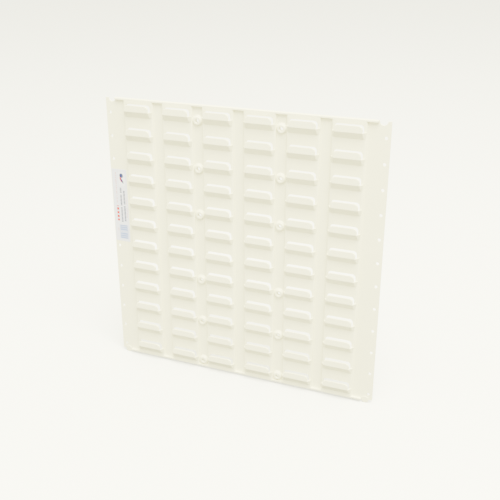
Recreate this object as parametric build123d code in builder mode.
"""Plastic louvre panel: a one-piece moulded wall panel on which storage bins hang.

Frame: millimetres, +X to the right seen from the front, +Z up, and +Y into the wall.
The front of the panel faces -Y. The origin is the middle of the face that lies on the wall.

The panel is one shell of even wall. Upright pads stand in front of it, with channels between
them and a flat flange down each side. Every pad carries a ladder of louvres. A louvre is a
scoop that leaves the pad, and a tongue that stands up from the lip of the scoop, with clear
space behind it for the hanging lip of a bin.
"""
import os
from math import atan, cos, hypot, tan

from build123d import *

# ---------------------------------------------------------------- overall sizes
panel_width = 457.2
panel_height = 455.0
wall = 2.4

# ---------------------------------------------------------------- louvres
row_pitch = 38.1
least_end_margin = 5.0  # least plain pad above the first louvre and below the last one
row_drop = 0.5  # how far the whole pattern of louvres sits below the middle of the panel
ramp_height = 10.1
shoulder_drop = 0.1  # the ends of the scoop stay this far below the foot of the tongue
foot_flare = 3.2  # from the side of a tongue to the end of the foot of its ramp
tongue_gap = 4.5  # clear space between a tongue and the front of its pad
tongue_width = 41.6
tongue_height = 9.8
tongue_corner_radius = 4.5
louvre_edge_radius = 1.2
hip_radius = 2.0  # where a ramp turns into the slanted ends of its scoop
window_clearance = 0.8  # between the outline of a tongue and its window, seen from the front
scoop_root = 1.2  # how deep a scoop is let into the wall of its pad

# ---------------------------------------------------------------- pads, channels and lips
column_pitch = 67.8
side_margin = 4.4  # from the side of a tongue to the side of its pad, where the scoop ends
pad_rise = 4.0  # from the floor of a channel to the front of a pad
pad_lean = 1.0  # how far each side of a pad leans in over its rise
pad_edge_radius = 2.5
pad_foot_radius = 0.8
pocket_radius = 0.6
least_flange = 20.0  # narrowest side flange that may stay beside the outer pads
lip_height = 2.6
lip_edge_radius = 0.8
flange_relief = 1.2  # the flanges end this far short of the lips, top and bottom

# ---------------------------------------------------------------- screw bosses and holes
boss_diameter = 12.4  # at the face of the boss
boss_flare = 2.8  # extra radius at the foot of the boss
boss_edge_radius = 0.7
boss_hole_diameter = 6.0
flange_hole_diameter = 5.0
flange_hole_inset = 6.6  # from the side edge of the panel to the middle of the holes
hole_above_ramp = 4.1  # height of the holes above the foot of the louvre ramps

# ---------------------------------------------------------------- stacking notches and tabs
notch_inset = 11.3  # from the side edge of the panel to the middle of the notch
notch_radius = 6.0
notch_to_lip = 0.7
tab_clearance = 0.3
tab_rise = 1.0  # how far the face of a tab stands in front of its flange

# ---------------------------------------------------------------- label
label_width = 27.5
label_height = 126.5
label_thickness = 0.15
label_corner_radius = 1.5
label_inset = 1.0  # from the side edge of the panel to the edge of the label
label_drop = 118.0  # from the top of the panel to the top of the label

# ---------------------------------------------------------------- worked out from the sizes above
half_width = panel_width / 2
half_height = panel_height / 2
floor_y = -wall  # front of the channel floors and of the flanges
pad_y = floor_y - pad_rise  # front of the pads and of the lips
pocket_y = pad_y + wall  # bottom of the hollow behind a pad

tongue_half = tongue_width / 2
tongue_reach = tongue_gap + wall  # from the front of a pad to the front of a tongue
tongue_top = ramp_height + tongue_height
shoulder_height = ramp_height - shoulder_drop
ramp_length = hypot(tongue_reach, ramp_height)
foot_half = tongue_half + foot_flare
window_half = tongue_half + window_clearance
window_top = tongue_top + window_clearance

lean_angle = atan(pad_lean / pad_rise)
pad_front_half = tongue_half + side_margin
pad_foot_half = pad_front_half + pad_lean
pocket_foot_half = pad_foot_half - wall / cos(lean_angle)  # level with the channel floor
pocket_mouth_half = pocket_foot_half + wall * tan(lean_angle)
pocket_front_half = pocket_foot_half - (floor_y - pocket_y) * tan(lean_angle)

channel_width = column_pitch - 2 * pad_foot_half
columns = int((panel_width - 2 * least_flange + channel_width) // column_pitch)
rows = 1 + int((panel_height - 2 * least_end_margin - window_top) // row_pitch)

middle_foot_z = -window_top / 2 - row_drop  # middle of the pattern of ramp feet
middle_hole_z = middle_foot_z + hole_above_ramp
row_span = (rows - 1) * row_pitch
hole_x = half_width - flange_hole_inset
notch_x = half_width - notch_inset
lip_half = notch_x - notch_radius - notch_to_lip
flange_end = half_height - flange_relief

# Bosses stand in the second channel from each side, in every second row from each end.
boss_x = (columns - 2) / 2 * column_pitch - column_pitch
upper_boss_rows = range(0, rows // 2, 2)
boss_places = [
    (side * boss_x, middle_hole_z + end * (row_span / 2 - row * row_pitch))
    for side in (1, -1)
    for end in (1, -1)
    for row in upper_boss_rows
]


def hip_plane(side, inset):
    """Slanted end of a scoop: through the foot of the ramp, the shoulder and the tip."""
    foot = Vector(side * foot_half, 0, 0)
    shoulder = Vector(side * pad_front_half, shoulder_height, 0)
    tip = Vector(side * tongue_half, ramp_height, tongue_reach)
    outward = (shoulder - foot).cross(tip - foot).normalized() * side
    return Plane(origin=foot - outward * inset, z_dir=outward)


def ramp_out(height):
    """Distance of the ramp's outer face from the pad, at a height above the foot."""
    return height * tongue_reach / ramp_height


# ---------------------------------------------------------------- one louvre
# Its own frame: +Y up the panel and +Z out of the front of the pad, from the foot of the ramp.
with BuildPart() as louvre:
    with BuildSketch(Plane.YZ):
        Polygon((0, 0), (ramp_height, tongue_reach), (shoulder_height, 0), align=None)
    extrude(amount=pad_front_half, both=True)
    for side in (1, -1):
        split(bisect_by=hip_plane(side, 0), keep=Keep.BOTTOM)
    extrude(louvre.faces().sort_by(Axis.Z)[0], amount=scoop_root)

    tongue_foot = ramp_height * tongue_gap / tongue_reach
    with BuildSketch(Plane.YZ):
        Polygon(
            (ramp_height, tongue_reach),
            (tongue_top, tongue_reach),
            (tongue_top, tongue_gap),
            (tongue_foot, tongue_gap),
            align=None,
        )
    extrude(amount=tongue_half, both=True)
    fillet(louvre.edges().filter_by(Axis.Z).group_by(Axis.Y)[-1], radius=tongue_corner_radius)

    tongue_front = louvre.faces().filter_by(Plane.XY).sort_by(Axis.Z)[-1]
    fillet(tongue_front.edges(), radius=louvre_edge_radius)
    for side in (1, -1):
        hip_run = Axis((0, 0, 0), (-side * foot_flare, ramp_height, tongue_reach))
        fillet(louvre.edges().filter_by(hip_run), radius=hip_radius)

# ---------------------------------------------------------------- what a louvre leaves open
# The hollow of the scoop, in line with its outer faces and no wider than the pocket behind the
# pad, and the window behind the tongue.
inner_rise = wall * ramp_length / tongue_reach  # the ramp's inner face above its outer face
with BuildPart() as louvre_hollow:
    with BuildSketch(Plane.YZ):
        Polygon(
            (inner_rise - wall * ramp_height / tongue_reach, -wall),
            (ramp_height, ramp_out(ramp_height - inner_rise)),
            (ramp_height, -wall),
            align=None,
        )
    extrude(amount=pocket_front_half - pocket_radius, both=True)
    for side in (1, -1):
        split(bisect_by=hip_plane(side, wall), keep=Keep.BOTTOM)
    with BuildSketch(Plane.XY.offset(-wall)) as window:
        with Locations((0, shoulder_height)):
            Rectangle(
                2 * window_half,
                window_top - shoulder_height,
                align=(Align.CENTER, Align.MIN),
            )
        window_corners = window.vertices().group_by(Axis.Y)[-1]
        fillet(window_corners, radius=tongue_corner_radius + window_clearance)
    extrude(amount=wall)

# ---------------------------------------------------------------- one screw boss
# Its own frame: the floor of its channel is z = 0, and +Z points out of the panel.
with BuildPart() as boss:
    Cone(
        boss_diameter / 2 + boss_flare,
        boss_diameter / 2,
        pad_rise,
        align=(Align.CENTER, Align.CENTER, Align.MIN),
    )
    fillet(boss.edges().group_by(Axis.Z)[-1], radius=boss_edge_radius)

# ---------------------------------------------------------------- the moulded panel
with BuildPart() as louvre_panel:
    # The shell is one section, drawn seen from above and run up the height of the panel.
    with BuildSketch(Plane.XY.offset(-half_height)) as section:
        Rectangle(panel_width, wall, align=(Align.CENTER, Align.MAX))
        with GridLocations(column_pitch, 1, columns, 1):
            Polygon(
                (-pad_foot_half, floor_y),
                (pad_foot_half, floor_y),
                (pad_front_half, pad_y),
                (-pad_front_half, pad_y),
                align=None,
            )
            Polygon(
                (-pocket_mouth_half, 0),
                (pocket_mouth_half, 0),
                (pocket_front_half, pocket_y),
                (-pocket_front_half, pocket_y),
                align=None,
                mode=Mode.SUBTRACT,
            )
        corners = section.vertices()
        pad_feet = corners.filter_by_position(Axis.Y, floor_y, floor_y)
        pad_feet = pad_feet.filter_by_position(Axis.X, -lip_half, lip_half)
        fillet(corners.filter_by_position(Axis.Y, pad_y, pad_y), radius=pad_edge_radius)
        fillet(corners.filter_by_position(Axis.Y, pocket_y, pocket_y), radius=pocket_radius)
        fillet(pad_feet, radius=pad_foot_radius)
    extrude(amount=panel_height)

    # Lips close the pads and the channels along the top and the bottom.
    for end in (1, -1):
        with Locations((0, 0, end * (half_height - lip_height / 2))):
            Box(
                2 * lip_half,
                wall + pad_rise,
                lip_height,
                align=(Align.CENTER, Align.MAX, Align.CENTER),
            )
    lip_edges = louvre_panel.edges().filter_by(Axis.X).filter_by_position(Axis.Y, pad_y, pad_y)
    lip_edges = lip_edges.group_by(Axis.Z)
    fillet(lip_edges[0] + lip_edges[-1], radius=lip_edge_radius)

    # Louvres on every pad, then the hollow and the window of each one.
    with Locations(Plane((0, pad_y, middle_foot_z), x_dir=(1, 0, 0), z_dir=(0, -1, 0))):
        with GridLocations(column_pitch, row_pitch, columns, rows):
            add(louvre.part)
            add(louvre_hollow.part, mode=Mode.SUBTRACT)

    # Screw bosses rise from the channels to the level of the pads.
    with Locations(*[Plane.XZ.offset(wall) * Location((x, z, 0)) for x, z in boss_places]):
        add(boss.part)
    with Locations(*[Plane.XZ.offset(-wall) * Location((x, z, 0)) for x, z in boss_places]):
        Cylinder(boss_hole_diameter / 2, 4 * wall + 2 * pad_rise, mode=Mode.SUBTRACT)

    # Screw holes down both flanges, one beside each row of louvres.
    with Locations(Plane((0, -wall / 2, middle_hole_z), x_dir=(1, 0, 0), z_dir=(0, -1, 0))):
        with GridLocations(2 * hole_x, row_pitch, 2, rows):
            Cylinder(flange_hole_diameter / 2, 2 * wall, mode=Mode.SUBTRACT)

    # The flanges end short of the lips, with a notch at the top and a tab at the bottom.
    flange_end_width = half_width - lip_half
    for end in (1, -1):
        with Locations((lip_half, 0, end * half_height), (-half_width, 0, end * half_height)):
            Box(
                flange_end_width,
                3 * wall,
                2 * flange_relief,
                align=(Align.MIN, Align.CENTER, Align.CENTER),
                mode=Mode.SUBTRACT,
            )
    with Locations(*[Plane.XZ * Location((x, flange_end, 0)) for x in (notch_x, -notch_x)]):
        Cylinder(notch_radius, 3 * wall, mode=Mode.SUBTRACT)
    with Locations(*[Plane.XZ * Location((x, -flange_end, 0)) for x in (notch_x, -notch_x)]):
        Cylinder(
            notch_radius - tab_clearance,
            wall + tab_rise,
            align=(Align.CENTER, Align.CENTER, Align.MIN),
        )

# ---------------------------------------------------------------- the label on the left flange
label_x = -half_width + label_inset + label_width / 2
label_z = half_height - label_drop - label_height / 2
with BuildPart() as label:
    with BuildSketch(Plane.XZ.offset(wall)):
        with Locations((label_x, label_z)):
            RectangleRounded(label_width, label_height, label_corner_radius)
    extrude(amount=label_thickness)

# ---------------------------------------------------------------- write the pieces
os.makedirs("parts", exist_ok=True)
for name, piece in (("louvre_panel", louvre_panel), ("label", label)):
    piece.part.label = name
    export_step(piece.part, f"parts/{name}.step")
